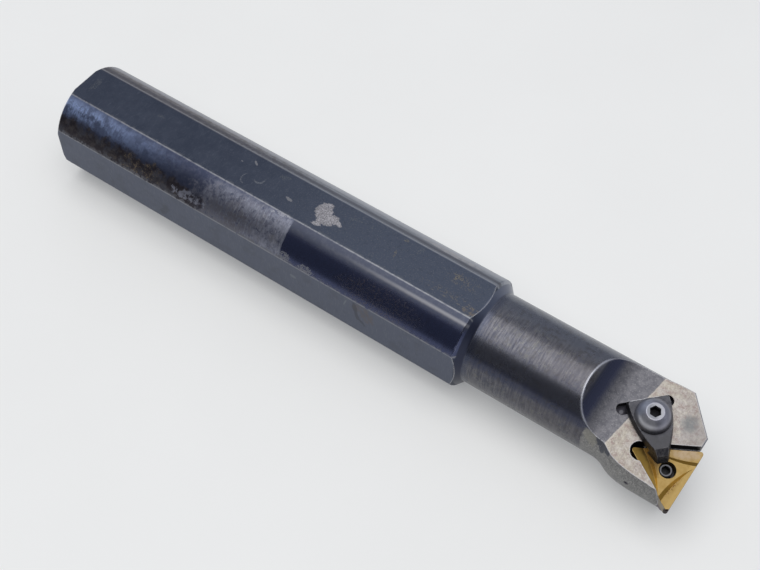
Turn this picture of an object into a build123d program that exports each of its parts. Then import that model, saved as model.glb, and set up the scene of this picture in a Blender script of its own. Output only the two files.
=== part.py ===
from build123d import *

import math
import os

# Boring bar with a triangular indexable insert, held by a lock pin and a top clamp.
#
# Millimetres and degrees. The origin is the centre of the shank's rear end. +X runs along the bar to
# the head, +Z is up, square to the top flat, and the cutting tip stands out towards -Y at the height
# of the bar's axis.

# Shank and neck
shank_diameter = 38.1
shank_length = 165.8
flat_count = 4
flat_depth = 1.5875
rear_chamfer = 0.8
shoulder_angle = 48.5
shoulder_edge_radius = 0.6
shoulder_height = 3.175
neck_length = 46.1
neck_root_radius = 1.0

# Head, turned on an axis set off to the cutting side
head_length = 29.4
head_near_swell = 3.2
head_far_swell = 0.5
head_drop = 0.7
flare_length = 16.7
flare_start_pull = 6.9
flare_end_pull = 12.9
tip_overhang = 2.675
front_setback = 1.35
front_width = 2.7
front_lean = 5.0
corner_angle = 45.0
tip_setback = 0.8
tip_turn = 8.0
tip_lean = 3.0
edge_break = 0.35
test_mark_back = 14.92
test_mark_turn = 5.2
test_mark_radius = 0.7
test_mark_depth = 0.25

# Chip face, which falls towards the tip, and the run-out behind it
radial_tilt = 11.5
axial_tilt = 5.0
face_height = 1.6
face_length = 26.5
run_out_radius = 15.9

# Insert pocket
wall_relief_width = 1.1
wall_relief_depth = 2.4
corner_relief_radius = 3.0
corner_relief_reach = 3.15

# Insert
inscribed_circle = 12.7
insert_thickness = 4.76
insert_hole_diameter = 5.16
nose_radius = 0.8
corner_count = 3
groove_wheel_radius = 27.6
groove_reach = 4.6
groove_start = 0.94
groove_land = 0.2
groove_rake = 12.0
groove_wall_angle = 27.0
chip_radius = 1.3
chip_out = 0.95
chip_drop = 0.7

# Shim under the insert
shim_thickness = 3.18
shim_inset = 0.35
shim_corner_radius = 1.6
shim_hole_clearance = 0.125
shim_sink_depth = 0.9

# Lock pin, whose head is off centre
pin_head_diameter = 4.2
pin_eccentricity = 0.4
pin_top_depth = 1.0
pin_head_chamfer = 0.3
pin_thread_diameter = 6.35
pin_thread_length = 6.0
pin_thread_chamfer = 0.6
pin_hole_spare = 0.5
pin_socket = 2.38
pin_socket_depth = 2.5
pin_collar_drop = 0.1

# Clamp, measured from its screw's axis
clamp_screw_back = 17.97
clamp_screw_along = 21.3
clamp_angle = 45.0
clamp_top_height = 3.0
clamp_underside_gap = 0.4
clamp_back = 5.7
clamp_half_width = 6.2
clamp_corner_radius = 0.8
clamp_side_start = -3.0
clamp_waist_at = 3.6
clamp_waist_half_width = 4.85
clamp_bend_at = 9.9
clamp_bend_half_width = 2.15
clamp_step_at = 11.9
clamp_step_half_width = 1.3
clamp_step_height = 1.5
clamp_nose_at = 13.2
clamp_nose_half_width = 0.3
clamp_pad_at = 9.2
clamp_draft = 12.0

# Heel of the clamp and its slot in the head
slot_at = 4.8
slot_width = 3.6
slot_half_length = 7.03
slot_shift = 0.9
slot_depth = 2.5
heel_side_gap = 0.5

# Clamp screw
screw_thread_diameter = 6.35
screw_thread_length = 13.0
screw_thread_chamfer = 0.6
screw_hole_spare = 2.0
screw_head_diameter = 11.3
screw_head_height = 4.6
screw_head_edge = 0.4
screw_dome_drop = 0.4
screw_socket = 3.18
screw_socket_depth = 3.2
screw_socket_turn = 45.0

# Clearances
running_clearance = 0.05
clamp_hole_clearance = 0.35

# Sizes that follow from those above
shank_radius = shank_diameter / 2
neck_radius = shank_radius - shoulder_height
flat_height = shank_radius - flat_depth
shoulder_length = shoulder_height / math.tan(math.radians(shoulder_angle))
neck_start = shank_length + shoulder_length
flare_start = neck_start + neck_length
flare_end = flare_start + flare_length
tip_x = flare_start + head_length
head_radius = neck_radius + (head_near_swell + head_far_swell) / 2
head_offset = (head_near_swell - head_far_swell) / 2
flare_radius = neck_radius - math.hypot(head_offset, head_drop)
tip_reach = neck_radius + head_near_swell + tip_overhang
insert_side = inscribed_circle * math.sqrt(3)
insert_height = inscribed_circle * 1.5
hole_back = inscribed_circle / 2
hole_along = insert_side / 2
pocket_depth = insert_thickness + shim_thickness
clamp_top = face_height + clamp_top_height
clamp_underside = face_height + clamp_underside_gap
pin_thread_radius = pin_thread_diameter / 2
shim_hole_radius = pin_thread_radius + shim_hole_clearance

# How far a cutting tool reaches past the metal
cut_reach = 2 * shank_diameter

MIDDLE_UP = (Align.CENTER, Align.CENTER, Align.MIN)
MIDDLE_DOWN = (Align.CENTER, Align.CENTER, Align.MAX)


def head_place():
    """Frame of the insert's top: origin at its sharp tip corner, X to the front, Y along the front
    cutting edge, Z square out of the chip face."""
    radial = math.radians(radial_tilt)
    axial = math.radians(axial_tilt)
    forward = (math.cos(axial), 0, -math.sin(axial))
    outward = (
        math.cos(radial) * math.sin(axial),
        -math.sin(radial),
        math.cos(radial) * math.cos(axial),
    )
    return Plane(origin=(tip_x, -tip_reach, 0), x_dir=forward, z_dir=outward).location


def hole_place(height=0.0):
    """Place on the axis of the insert's hole, in the head's frame."""
    return Pos(-hole_back, hole_along, height)


def clamp_place(height=0.0):
    """Place on the clamp screw's axis, in the head's frame, with X along the clamp to its nose."""
    return Pos(-clamp_screw_back, clamp_screw_along, height) * Rot(0, 0, -clamp_angle)


def rod(radius, low, high):
    """Round rod on the Z axis between two heights."""
    return Pos(0, 0, low) * Cylinder(radius, high - low, align=MIDDLE_UP)


def hexagon(across_flats, depth, turn=0.0):
    """Hexagonal plug that reaches down from Z = 0 by a depth."""
    outline = RegularPolygon(across_flats / 2, 6, major_radius=False, rotation=turn)
    return extrude(outline, amount=-depth)


def bar_blank():
    """Shank, shoulder and neck in one turning."""
    outline = Polyline(
        (0, 0),
        (0, shank_radius - rear_chamfer),
        (rear_chamfer, shank_radius),
        (shank_length, shank_radius),
        (neck_start, neck_radius),
        (flare_end, neck_radius),
        (flare_end, 0),
        close=True,
    )
    section = make_face(outline)
    neck_root = section.vertices().sort_by_distance((neck_start, neck_radius))[0]
    section = fillet(neck_root, neck_root_radius)
    shoulder_edge = section.vertices().sort_by_distance((shank_length, shank_radius))[0]
    section = fillet(shoulder_edge, shoulder_edge_radius)
    return revolve(section, axis=Axis.X)


def shank_flats():
    """What is milled off to leave the flats, which stop in the shoulder."""
    block = Box(neck_start, shank_diameter, shank_radius, align=(Align.MIN, Align.CENTER, Align.MIN))
    turns = [360 / flat_count * n for n in range(flat_count)]
    return [Rot(turn, 0, 0) * Pos(0, 0, flat_height) * block for turn in turns]


def bottom_flat():
    """What is milled off under the head, which rests on the same flat as the shank."""
    block = Box(tip_x + cut_reach, shank_diameter, shank_radius, align=(Align.MIN, Align.CENTER, Align.MAX))
    return Pos(0, 0, -flat_height) * block


def head_blank():
    """The head's round, which swells out of the neck on the cutting side."""
    flare = Bezier(
        (flare_start, flare_radius),
        (flare_start + flare_start_pull, flare_radius),
        (flare_end - flare_end_pull, head_radius),
        (flare_end, head_radius),
    )
    rest = Polyline(
        (flare_end, head_radius),
        (tip_x, head_radius),
        (tip_x, 0),
        (flare_start, 0),
        (flare_start, flare_radius),
    )
    return Pos(0, -head_offset, -head_drop) * revolve(make_face(flare + rest), axis=Axis.X)


def front_plane(setback, across, turn, lean):
    """One plane of the front, turned towards the far side, which leans back as it goes down."""
    heading = math.radians(turn)
    slope = math.radians(lean)
    outward = (
        math.cos(heading) * math.cos(slope),
        math.sin(heading) * math.cos(slope),
        -math.sin(slope),
    )
    return Plane(origin=(tip_x - setback, across, 0), z_dir=outward)


def front_cuts():
    """What is milled off at the front: beyond the square face, the far corner and the tip's side."""
    planes = [
        front_plane(front_setback, 0, 0, front_lean),
        front_plane(front_setback, front_width, corner_angle, front_lean),
        front_plane(tip_setback, 0, -tip_turn, tip_lean),
    ]
    block = Box(cut_reach, 2 * cut_reach, cut_reach, align=MIDDLE_UP)
    return [plane.location * block for plane in planes]


def chip_face_cut():
    """What is milled off over the chip face, with the round run-out behind it."""
    back = -face_length
    run_out = TangentArc(
        (back, face_height),
        (back - run_out_radius, face_height + run_out_radius),
        tangent=(-1, 0),
    )
    rest = Polyline(
        (back - run_out_radius, face_height + run_out_radius),
        (back - run_out_radius, cut_reach),
        (cut_reach, cut_reach),
        (cut_reach, face_height),
        (back, face_height),
    )
    section = Plane.XZ * make_face(run_out + rest)
    return extrude(section, amount=cut_reach, both=True)


def pocket_cut():
    """Pocket for shim and insert: two walls at the insert's sides, one wall relieved at its top, and a
    round relief in the corner between them."""
    reach = insert_side + cut_reach
    inner = Vector(-insert_height, hole_along)
    near_way = Vector(math.cos(math.radians(-30)), math.sin(math.radians(-30)))
    far_way = Vector(math.cos(math.radians(30)), math.sin(math.radians(30)))
    aside = Vector(-far_way.Y, far_way.X) * wall_relief_width
    relief_start = inner + far_way * corner_relief_reach
    pocket = make_face(Polyline(inner, inner + near_way * reach, inner + far_way * reach, close=True))
    strip = make_face(
        Polyline(
            relief_start,
            inner + far_way * reach,
            inner + far_way * reach + aside,
            relief_start + aside,
            close=True,
        )
    )
    corner = Pos(-insert_height + corner_relief_reach, hole_along)
    return [
        Pos(0, 0, -pocket_depth) * extrude(pocket, amount=cut_reach),
        Pos(0, 0, -wall_relief_depth) * extrude(strip, amount=cut_reach),
        corner * rod(corner_relief_radius, -pocket_depth, cut_reach),
    ]


def head_holes():
    """Heel slot and the holes for the clamp screw and the lock pin."""
    slot = SlotCenterToCenter(2 * slot_half_length, slot_width, rotation=90)
    slot_floor = Pos(-slot_at, -slot_shift, face_height - slot_depth)
    screw_low = face_height - screw_thread_length - screw_hole_spare
    pin_low = -pocket_depth - pin_thread_length - pin_hole_spare
    return [
        clamp_place() * slot_floor * extrude(slot, amount=cut_reach),
        clamp_place() * rod(screw_thread_diameter / 2 + running_clearance, screw_low, cut_reach),
        hole_place() * rod(pin_thread_radius + running_clearance, pin_low, cut_reach),
    ]


def break_front_edges(body):
    """Breaks the chip face's straight edges at the front. The line where the run-out starts stays."""
    place = Plane(head_place())
    edges = []
    for edge in body.edges().filter_by(GeomType.LINE):
        ends = [place.to_local_coords(edge @ share) for share in (0, 1)]
        level = all(abs(end.Z - face_height) < edge_break / 10 for end in ends)
        if level and min(end.X for end in ends) > -face_length / 2:
            edges.append(edge)
    return chamfer(edges, edge_break)


def test_mark():
    """Ball that leaves the dimple of a hardness test on the head's near side."""
    out = head_radius + test_mark_radius - test_mark_depth
    return Pos(tip_x - test_mark_back, -head_offset, -head_drop) * Rot(test_mark_turn, 0, 0) * (
        Pos(0, -out, 0) * Sphere(test_mark_radius)
    )


def bar_body():
    """The steel bar."""
    body = bar_blank() - shank_flats() + head_blank() - bottom_flat()
    body = body - front_cuts() - test_mark()
    head = head_place()
    body = break_front_edges(body - head * chip_face_cut())
    body = body - [head * cut for cut in pocket_cut()]
    return body - [head * cut for cut in head_holes()]


def triangle(inset, corner_radius):
    """Outline of the insert about its hole, moved in from each side, with rounded corners."""
    sharp = RegularPolygon(inscribed_circle / 2 - inset, corner_count, major_radius=False, rotation=180)
    return fillet(sharp.vertices(), corner_radius)


def chip_groove():
    """What a grinding wheel takes off along the front edge: a floor that falls away from the edge and
    a sloping wall, both widest at the tip."""
    depth = groove_reach * math.tan(math.radians(groove_rake))
    slope = math.tan(math.radians(groove_wall_angle))
    low_radius = groove_wheel_radius - depth / slope
    high_radius = groove_wheel_radius + depth / slope
    wheel = Cone(low_radius, high_radius, 2 * depth)
    wheel_out = hole_back + groove_wheel_radius - groove_reach
    floor_way = (-math.sin(math.radians(groove_rake)), 0, math.cos(math.radians(groove_rake)))
    floor = Plane(origin=(hole_back - groove_land, 0, 0), z_dir=floor_way)
    over_floor = floor.location * Box(cut_reach, cut_reach, cut_reach, align=MIDDLE_UP)
    return Pos(wheel_out, groove_start - hole_along, 0) * wheel & over_floor


def worn_chip():
    """The chip that has broken out of the nose at the cutting tip."""
    apex = inscribed_circle - nose_radius
    way = Vector(math.cos(math.radians(-60)), math.sin(math.radians(-60)))
    return Pos(way * (apex + chip_out)) * Pos(0, 0, -chip_drop) * Sphere(chip_radius)


def insert():
    """Indexable insert with a groove along each edge of both faces."""
    blank = extrude(triangle(0, nose_radius), amount=-insert_thickness)
    blank = blank - rod(insert_hole_diameter / 2, -insert_thickness, 0) - worn_chip()
    turned_over = Pos(0, 0, -insert_thickness) * Rot(180, 0, 0)
    turns = [360 / corner_count * n for n in range(corner_count)]
    grooves = [Rot(0, 0, turn) * chip_groove() for turn in turns]
    return hole_place() * (blank - grooves - [turned_over * groove for groove in grooves])


def shim():
    """Seat under the insert, countersunk for the lock pin's collar."""
    plate = extrude(triangle(shim_inset, shim_corner_radius), amount=-shim_thickness)
    hole = rod(shim_hole_radius, -shim_thickness, 0)
    sink = Cone(shim_hole_radius, shim_hole_radius + shim_sink_depth, shim_sink_depth, align=MIDDLE_DOWN)
    return hole_place(-insert_thickness) * (plate - hole - sink)


def lock_pin():
    """Pin whose off-centre head pushes the insert to the inner corner of its pocket."""
    collar_top = -insert_thickness - pin_collar_drop
    collar_radius = shim_hole_radius + shim_sink_depth - pin_collar_drop - running_clearance
    thread_low = -pocket_depth - pin_thread_length
    outline = Polyline(
        (0, thread_low),
        (pin_thread_radius - pin_thread_chamfer, thread_low),
        (pin_thread_radius, thread_low + pin_thread_chamfer),
        (pin_thread_radius, collar_top - (collar_radius - pin_thread_radius)),
        (collar_radius, collar_top),
        (0, collar_top),
        close=True,
    )
    stem = revolve(Plane.XZ * make_face(outline), axis=Axis.Z)
    head = rod(pin_head_diameter / 2, collar_top - pin_collar_drop, -pin_top_depth)
    head = chamfer(head.edges().sort_by(Axis.Z)[-1], pin_head_chamfer)
    socket = Pos(0, 0, -pin_top_depth) * hexagon(pin_socket, pin_socket_depth)
    return hole_place() * (stem + Pos(-pin_eccentricity, 0, 0) * (head - socket))


def clamp_plan():
    """Outline of the clamp's top, from its straight back over swept sides to the nose."""
    back_corner = (-clamp_back, clamp_half_width)
    side_start = (clamp_side_start, clamp_half_width)
    waist = (clamp_waist_at, clamp_waist_half_width)
    bend = (clamp_bend_at, clamp_bend_half_width)
    step = (clamp_step_at, clamp_step_half_width)
    nose = (clamp_nose_at, clamp_nose_half_width)
    back = Polyline((-clamp_back, 0), back_corner, side_start)
    side = ThreePointArc(side_start, waist, bend)
    front = Polyline(bend, step, nose, (clamp_nose_at, 0))
    half = back + side + front
    plan = make_face(half + mirror(half, about=Plane.XZ))
    corners = plan.vertices().sort_by(Axis.X)[:2]
    return fillet(corners, clamp_corner_radius)


def clamp():
    """Clamp with a heel at its back, a flat pad under its nose and a hole for the screw."""
    blank = Pos(0, 0, clamp_top) * extrude(clamp_plan(), amount=-clamp_top, taper=-clamp_draft)
    span = (Align.MAX, Align.CENTER, Align.MAX)
    hollow = Pos(clamp_pad_at, 0, clamp_underside) * Box(cut_reach, cut_reach, cut_reach, align=span)
    nose_side = Polyline(
        (clamp_bend_at, clamp_top),
        (clamp_step_at, face_height + clamp_step_height),
        (clamp_nose_at, 0),
        (clamp_nose_at, -cut_reach),
        (cut_reach, -cut_reach),
        (cut_reach, cut_reach),
        (clamp_bend_at, cut_reach),
        close=True,
    )
    nose_cut = extrude(Plane.XZ * make_face(nose_side), amount=cut_reach, both=True)
    heel_low = face_height - slot_depth
    heel = Pos(-slot_at, 0, heel_low) * Box(
        slot_width - 2 * heel_side_gap,
        2 * clamp_half_width,
        clamp_underside - heel_low,
        align=MIDDLE_UP,
    )
    hole = rod(screw_thread_diameter / 2 + clamp_hole_clearance, -cut_reach, cut_reach)
    return clamp_place() * (blank - hollow - nose_cut + heel - hole)


def clamp_screw():
    """Domed screw with a hexagonal socket, seated on the clamp."""
    thread_radius = screw_thread_diameter / 2
    thread_low = -clamp_top_height - screw_thread_length
    rim_radius = screw_head_diameter / 2
    dome_radius = math.hypot(rim_radius, screw_head_edge + screw_dome_drop)
    flat_radius = math.sqrt(dome_radius**2 - (screw_head_height + screw_dome_drop) ** 2)
    dome_turn = math.radians(45)
    dome_middle = (
        dome_radius * math.cos(dome_turn),
        dome_radius * math.sin(dome_turn) - screw_dome_drop,
    )
    dome = ThreePointArc((rim_radius, screw_head_edge), dome_middle, (flat_radius, screw_head_height))
    rest = Polyline(
        (flat_radius, screw_head_height),
        (0, screw_head_height),
        (0, thread_low),
        (thread_radius - screw_thread_chamfer, thread_low),
        (thread_radius, thread_low + screw_thread_chamfer),
        (thread_radius, 0),
        (rim_radius - screw_head_edge, 0),
        (rim_radius, screw_head_edge),
    )
    turned = revolve(Plane.XZ * make_face(dome + rest), axis=Axis.Z)
    socket = Pos(0, 0, screw_head_height) * hexagon(screw_socket, screw_socket_depth, screw_socket_turn)
    return clamp_place(clamp_top) * (turned - socket)


def main():
    os.makedirs("parts", exist_ok=True)
    export_step(bar_body(), "parts/bar_body.step")
    head = head_place()
    for make in (insert, shim, lock_pin, clamp, clamp_screw):
        export_step(head * make(), f"parts/{make.__name__}.step")


main()
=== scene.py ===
# %% [markdown]
# # A boring bar, dressed in Blender
#
# This lesson takes the solid model of a boring bar, a heavy round steel tool that holds one small
# cutting insert, and gives it the finishes of a used one: black oxide rubbed away at the edges, turning
# marks, ground faces, a golden coated insert and dark hardened fasteners.
#
# The first cell loads the solid model. It is the frame that all else follows: each part stays where the
# model has it, and the script keeps the model's box, so that the dressed part can be set against it.

# %% Load the solid model
import math

import bmesh
import bpy
from mathutils import Matrix, Vector


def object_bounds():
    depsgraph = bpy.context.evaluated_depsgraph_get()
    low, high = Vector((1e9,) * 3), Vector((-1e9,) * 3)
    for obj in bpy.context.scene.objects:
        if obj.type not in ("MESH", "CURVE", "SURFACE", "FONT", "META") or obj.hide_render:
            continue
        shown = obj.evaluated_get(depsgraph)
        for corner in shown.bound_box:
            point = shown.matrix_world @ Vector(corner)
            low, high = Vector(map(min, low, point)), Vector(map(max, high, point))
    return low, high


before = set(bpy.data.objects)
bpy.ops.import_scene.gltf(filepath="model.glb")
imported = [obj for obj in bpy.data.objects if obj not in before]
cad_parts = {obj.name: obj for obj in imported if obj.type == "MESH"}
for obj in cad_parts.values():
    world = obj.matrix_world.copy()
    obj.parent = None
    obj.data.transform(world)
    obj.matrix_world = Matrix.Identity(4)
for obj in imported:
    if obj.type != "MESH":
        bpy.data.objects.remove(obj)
solid_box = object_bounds()
print("parts:", sorted(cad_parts))
print("solid model's box in mm:", [tuple(round(1000 * c, 1) for c in corner) for corner in solid_box])

# %% [markdown]
# The camera comes early, so that every later choice can be looked at. It stands in front of the bar's
# near side and well above it, and the bar runs away from its head, at the lower right, to its rear end.
# Its three axes are written out, because a photograph's angle is seldom a round number.

# %% Place the camera
scene = bpy.context.scene

camera_right = Vector((0.8164656, 0.5773710, -0.0051749))
camera_up = Vector((-0.4638710, 0.6612483, 0.5895543))
camera_back = Vector((0.3438134, -0.4789503, 0.8077121))
camera_place = Vector((0.2780194, -0.2110658, 0.3510886))

camera_data = bpy.data.cameras.new("camera")
camera_data.sensor_width = 36.0
camera_data.lens = 62.93
camera_data.clip_start = 0.01
camera_data.clip_end = 20.0
camera = bpy.data.objects.new("camera", camera_data)
scene.collection.objects.link(camera)
camera_turn = Matrix((camera_right, camera_up, camera_back)).transposed().to_4x4()
camera.matrix_world = Matrix.Translation(camera_place) @ camera_turn
scene.camera = camera
print("camera height in mm:", round(1000 * camera_place.z))

# %% [markdown]
# Shader maths reads best when it is written as ordinary sums. `Wire` wraps one socket of a node and
# answers to +, -, * and /, and `Recipe` is one tree of nodes, of a material or of the world, with one
# method that adds any node. A number that is the same all over a surface is set on the shader itself,
# and needs no node.

# %% A socket that Python's operators can be used on
class Wire:
    """One output socket. A sum on it adds the Math or Vector Math node that works it out."""

    def __init__(self, recipe, socket):
        self.recipe = recipe
        self.socket = socket

    def carries_vector(self):
        return self.socket.type in ("VECTOR", "RGBA")

    def joined(self, other, operation, swapped=False):
        vector = self.carries_vector() or (isinstance(other, Wire) and other.carries_vector())
        if vector and isinstance(other, (int, float)):
            other = (other, other, other)
        first, second = (other, self) if swapped else (self, other)
        kind = "ShaderNodeVectorMath" if vector else "ShaderNodeMath"
        return self.recipe.node(kind, {"operation": operation}, {0: first, 1: second})

    def __add__(self, other):
        return self.joined(other, "ADD")

    def __radd__(self, other):
        return self.joined(other, "ADD", True)

    def __sub__(self, other):
        return self.joined(other, "SUBTRACT")

    def __rsub__(self, other):
        return self.joined(other, "SUBTRACT", True)

    def __mul__(self, other):
        return self.joined(other, "MULTIPLY")

    def __rmul__(self, other):
        return self.joined(other, "MULTIPLY", True)

    def __truediv__(self, other):
        return self.joined(other, "DIVIDE")

    def __rtruediv__(self, other):
        return self.joined(other, "DIVIDE", True)

    def __neg__(self):
        return self * -1.0


# %% A tree of nodes
class Recipe:
    """A material or the world, built up by adding nodes to its tree."""

    def __init__(self, owner, shader="ShaderNodeBsdfPrincipled", out="ShaderNodeOutputMaterial"):
        owner.use_nodes = True
        self.owner = owner
        self.tree = owner.node_tree
        self.tree.nodes.clear()
        shaded = self.node(shader)
        self.shader = shaded.socket.node
        self.node(out, values={"Surface": shaded})

    def feed(self, socket, value):
        if isinstance(value, Wire):
            self.tree.links.new(value.socket, socket)
        elif socket.type == "RGBA" and len(value) == 3:
            socket.default_value = (*value, 1.0)
        else:
            socket.default_value = value

    def node(self, kind, settings=None, values=None, output=0):
        """Adds a node: its settings first, then the values or links of its sockets."""
        made = self.tree.nodes.new(kind)
        for key, value in (settings or {}).items():
            setattr(made, key, value)
        for key, value in (values or {}).items():
            self.feed(made.inputs[key], value)
        return Wire(self, made.outputs[output]) if made.outputs else None

    def finish(self, **sockets):
        """Feeds the shader's own sockets, named with _ for a space."""
        for name, value in sockets.items():
            self.feed(self.shader.inputs[name.replace("_", " ")], value)
        return self.owner


def new_finish(name):
    return Recipe(bpy.data.materials.new(name))


# %% [markdown]
# A few helpers are used by every finish. Places are read in millimetres from the Object coordinates,
# which stay with the part when it moves. `between` is a soft step from 0 to 1, `blended` mixes two
# colours, and `grain` is noise whose size is given in millimetres.

# %% Helpers for places, steps, mixes and noise
def place_mm(recipe):
    return recipe.node("ShaderNodeTexCoord", output="Object") * 1000.0


def facing(recipe):
    """The direction that the surface faces, in the part's own frame."""
    return recipe.node("ShaderNodeTexCoord", output="Normal")


def along(wire, direction):
    return wire.recipe.node(
        "ShaderNodeVectorMath", {"operation": "DOT_PRODUCT"}, {0: wire, 1: tuple(direction)}, "Value"
    )


def axis_of(wire, name):
    return wire.recipe.node("ShaderNodeSeparateXYZ", values={0: wire}, output=name)


def between(wire, low, high, start=0.0, end=1.0):
    """A smooth step: start at and below low, end at and above high."""
    if low > high:
        low, high, start, end = high, low, end, start
    return wire.recipe.node(
        "ShaderNodeMapRange",
        {"interpolation_type": "SMOOTHSTEP"},
        {"Value": wire, "From Min": low, "From Max": high, "To Min": start, "To Max": end},
    )


def largest(a, b):
    return a.joined(b, "MAXIMUM")


def blended(recipe, factor, first, second):
    """first where factor is 0, second where it is 1."""
    return recipe.node("ShaderNodeMix", {"data_type": "RGBA"}, {"Factor": factor, 6: first, 7: second}, 2)


def grain(place, size, detail=3.0, roughness=0.55, stretch=(1.0, 1.0, 1.0)):
    """Noise from 0 to 1 with features of about size millimetres, drawn out by stretch."""
    scale = tuple(1.0 / (size * s) for s in stretch)
    return place.recipe.node(
        "ShaderNodeTexNoise",
        values={"Vector": place * scale, "Scale": 1.0, "Detail": detail, "Roughness": roughness},
        output="Fac",
    )


# %% [markdown]
# Worn edges make a steel tool look real. The Bevel node gives the direction that the surface would face
# if its edges were rounded, and where that differs from the true direction there is an edge. The same
# rounded direction is used for the shading, so every edge catches a thin line of light.

# %% Helpers for edges and for relief
def rounded(recipe, radius_mm, samples=6):
    return recipe.node("ShaderNodeBevel", {"samples": samples}, {"Radius": radius_mm / 1000.0})


def edge_of(recipe, radius_mm, shallow=0.985, sharp=0.86, samples=6):
    """0 on open surfaces, rising to 1 at an edge. Values of shallow nearer to 1 also find flatter edges."""
    soft = rounded(recipe, radius_mm, samples)
    true = recipe.node("ShaderNodeNewGeometry", output="Normal")
    same = recipe.node(
        "ShaderNodeVectorMath", {"operation": "DOT_PRODUCT"}, {0: soft, 1: true}, "Value"
    )
    return between(same, shallow, sharp)


def relief(recipe, height, depth_mm, normal=None):
    values = {"Height": height, "Strength": 1.0, "Distance": depth_mm / 1000.0}
    if normal is not None:
        values["Normal"] = normal
    return recipe.node("ShaderNodeBump", values=values)


# %% [markdown]
# The head's flat faces are square to nothing: the pocket leans two ways. Its own frame has its origin
# at the insert's cutting corner, one axis back along the insert's front edge, one across it, and one
# square to the insert's top. The finishes of the head are laid out in this frame, and the clamp's screw
# and the insert's pin stand square in it, at the places given first.

# %% The head's own frame
tip_corner = Vector((244.1, -21.75, 0.0))
screw_axis = (-17.97, 21.3)
pin_axis = (-6.75, 11.0)
axial_tilt = math.radians(5.0)
pocket_forward = Vector((math.cos(axial_tilt), 0.0, -math.sin(axial_tilt)))
pocket_up = Vector((0.0854061, -0.1993679, 0.9761958)).normalized()
pocket_across = pocket_up.cross(pocket_forward).normalized()
print("pocket axes:", [tuple(round(c, 4) for c in a) for a in (pocket_forward, pocket_across, pocket_up)])


def pocket_places(place):
    """How far a place is forward of the tip, across from it and above it, in mm."""
    offset = place - tuple(tip_corner)
    return along(offset, pocket_forward), along(offset, pocket_across), along(offset, pocket_up)


def distance_from(centre, a, b):
    """How far the place (a, b) is from a centre, in mm."""
    a, b = a - centre[0], b - centre[1]
    return a.recipe.node("ShaderNodeMath", {"operation": "SQRT"}, {0: a * a + b * b})


# %% [markdown]
# A used tool is a stack of finishes: a ground tone first, then each zone, stain, mark and worn edge laid
# over the ones before. `Coat` keeps the colour and roughness so far, `lay` puts one more layer over them
# where its mask is 1, and `vary` lays several over one zone, each where a noise or a place is in range.

# %% Layers of a finish
class Coat:
    """The colour and roughness of a surface, which later layers are laid over."""

    def __init__(self, recipe, colour, roughness):
        self.recipe = recipe
        self.colour = colour
        self.roughness = roughness

    def lay(self, mask, colour, roughness=None):
        self.colour = blended(self.recipe, mask, self.colour, colour)
        if roughness is not None:
            self.roughness = self.roughness + mask * (roughness - self.roughness)

    def vary(self, zone, *layers):
        """Each layer is a wire, its low and high, a strength and a colour, and at times a roughness."""
        for wire, low, high, strength, *finish in layers:
            self.lay(zone * between(wire, low, high) * strength, *finish)


def oval(a, b, centre, reach, turn=0.0):
    """1 at centre, 0 on the outline of an oval and below 0 outside, on a surface laid out by a and b."""
    a, b = a - centre[0], b - centre[1]
    if turn:
        cosine, sine = math.cos(math.radians(turn)), math.sin(math.radians(turn))
        a, b = a * cosine + b * sine, b * cosine - a * sine
    a, b = a / reach[0], b / reach[1]
    return 1.0 - a * a - b * b


def spots(ragged, *ovals, soft=0.2):
    """1 within any of the ovals, whose joined outline is broken up by ragged."""
    joined = ovals[0]
    for other in ovals[1:]:
        joined = largest(joined, other)
    return between(joined + ragged, -soft, soft)


def line_at(wire, where, half_width, soft=0.15):
    """1 where the wire is within half_width of a value."""
    away = wire.recipe.node("ShaderNodeMath", {"operation": "ABSOLUTE"}, {0: wire - where})
    return between(away, half_width + soft, half_width)


# %% [markdown]
# The bar is one piece of steel, so it has one material, whose finishes lie in zones. They are found from
# the place along the bar, the turn round its axis and the way the surface faces, which all come from
# the part itself, so the finish is the same from every side.

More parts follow.
